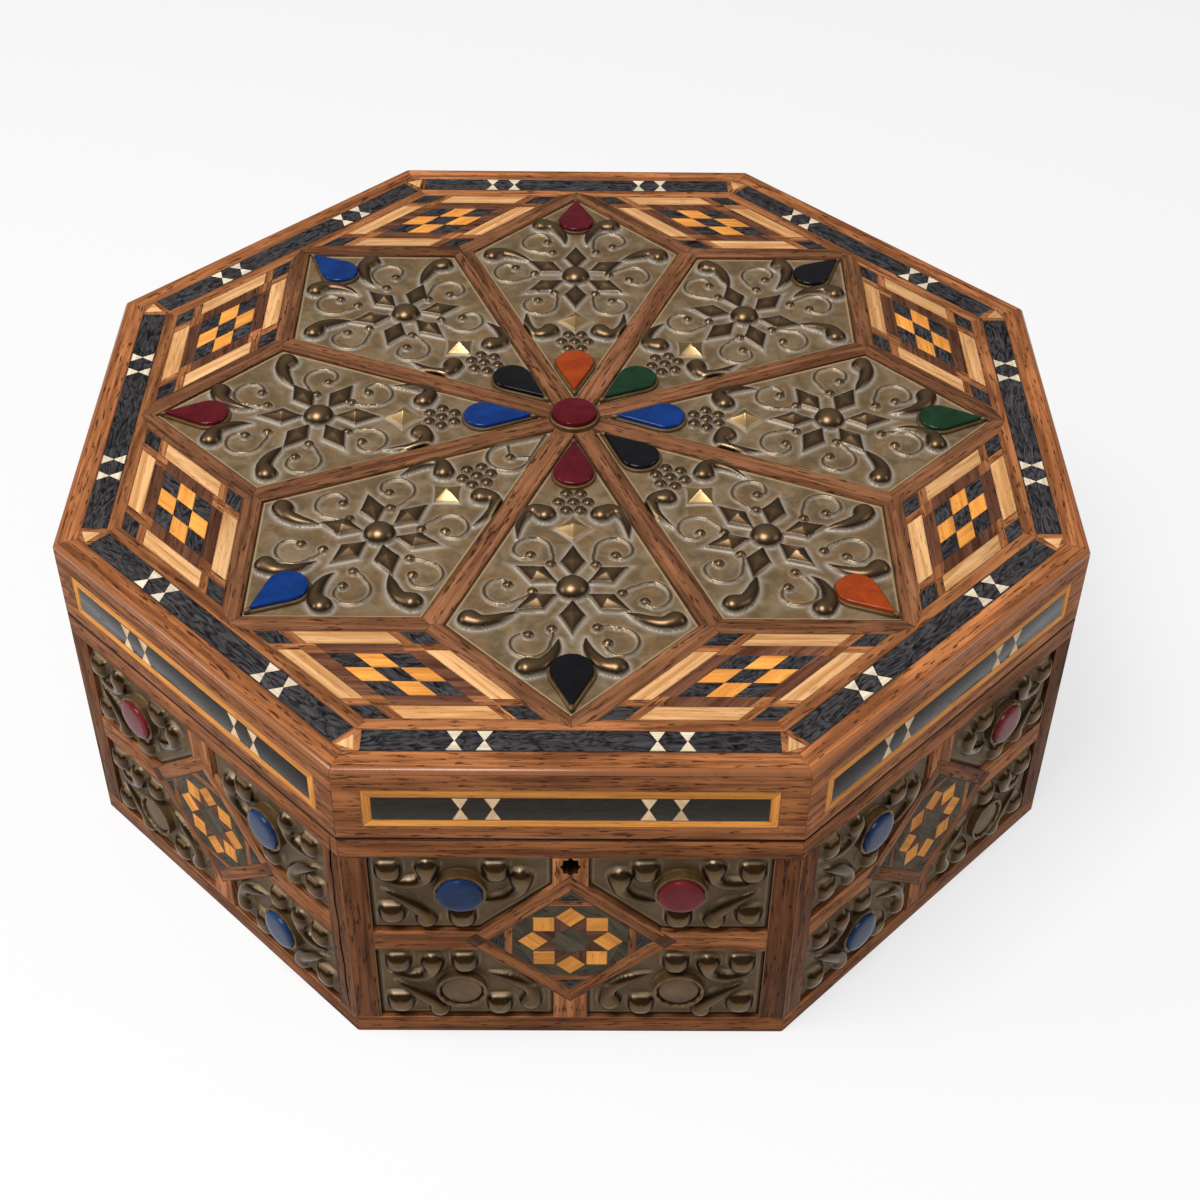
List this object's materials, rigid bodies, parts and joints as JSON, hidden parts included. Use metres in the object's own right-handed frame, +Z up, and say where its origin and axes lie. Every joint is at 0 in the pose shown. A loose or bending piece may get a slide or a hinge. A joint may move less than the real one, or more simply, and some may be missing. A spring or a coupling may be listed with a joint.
{
  "type": "keepsake box",
  "caption": "Octagonal hinged keepsake box of inlaid wood with embossed bronze panels, coloured stones and a lock behind a star keyhole.",
  "frame": {"origin": "centre of the underside, on the surface the box stands on", "axes": "+Z up through the lid, -Y out of the front wall with the keyhole, +X to the viewer's right"},
  "size_m": [0.408, 0.408, 0.1528],
  "materials": {
    "thuya_wood": "reddish brown, satin lacquer, worn arrises",
    "walnut": "dark brown, satin",
    "lemonwood": "pale yellow, satin",
    "ebony": "near black, satin",
    "bronze": "dark patina, rubbed on the high spots",
    "brass": "dull",
    "steel": "dull",
    "stone_red": "polished",
    "stone_blue": "polished",
    "stone_green": "polished",
    "stone_orange": "polished",
    "stone_black": "polished"
  },
  "bodies": {
    "body": {"body_nails": "steel", "bottom_board": "thuya_wood", "diamond_strips": "thuya_wood", "diamond_tips": "walnut", "facing_cross_bars": "thuya_wood", "facing_rails": "thuya_wood", "facing_stiles": "thuya_wood", "hinge_leaves_body": "brass", "hinge_pins": "steel", "lock_case": "brass", "lock_cover": "brass", "lock_spring": "steel", "medallions": "walnut", "side_collars": "bronze", "side_relief_lower_left": "bronze", "side_relief_lower_right": "bronze", "side_relief_upper_left": "bronze", "side_relief_upper_right": "bronze", "side_stones_blue": "stone_blue", "side_stones_red": "stone_red", "wall_back": "thuya_wood", "wall_back_left": "thuya_wood", "wall_back_right": "thuya_wood", "wall_front": "thuya_wood", "wall_front_left": "thuya_wood", "wall_front_right": "thuya_wood", "wall_left": "thuya_wood", "wall_right": "thuya_wood"},
    "lid": {"hinge_leaves_lid": "brass", "lid_bands": "ebony", "lid_board": "thuya_wood", "lid_border_strips": "thuya_wood", "lid_catch": "brass", "lid_corner_blocks": "thuya_wood", "lid_corner_triangles": "lemonwood", "lid_inlay_ebony": "ebony", "lid_inlay_lemonwood": "lemonwood", "lid_nails": "steel", "lid_rail_back": "thuya_wood", "lid_rail_back_left": "thuya_wood", "lid_rail_back_right": "thuya_wood", "lid_rail_front": "thuya_wood", "lid_rail_front_left": "thuya_wood", "lid_rail_front_right": "thuya_wood", "lid_rail_left": "thuya_wood", "lid_rail_right": "thuya_wood", "lid_reliefs": "bronze", "lid_rhombus_rings": "walnut", "lid_side_bands": "ebony", "lid_side_borders": "lemonwood", "lid_spokes": "thuya_wood", "lid_star_ribs": "thuya_wood", "lid_stone_seats": "bronze", "lid_stones_black": "stone_black", "lid_stones_blue": "stone_blue", "lid_stones_green": "stone_green", "lid_stones_orange": "stone_orange", "lid_stones_red": "stone_red"},
    "lock_bolt": {"lock_bolt": "steel"}
  },
  "joints": [
    {"name": "lid_hinge", "type": "hinge", "parent": "body", "child": "lid", "pos_m": [0, 0.1968, 0.1133], "axis": [-1, 0, 0], "range_deg": [0, 100]},
    {"name": "lock_bolt_slide", "type": "slide", "parent": "body", "child": "lock_bolt", "axis": [1, 0, 0], "range_m": [0, 0.006]}
  ]
}
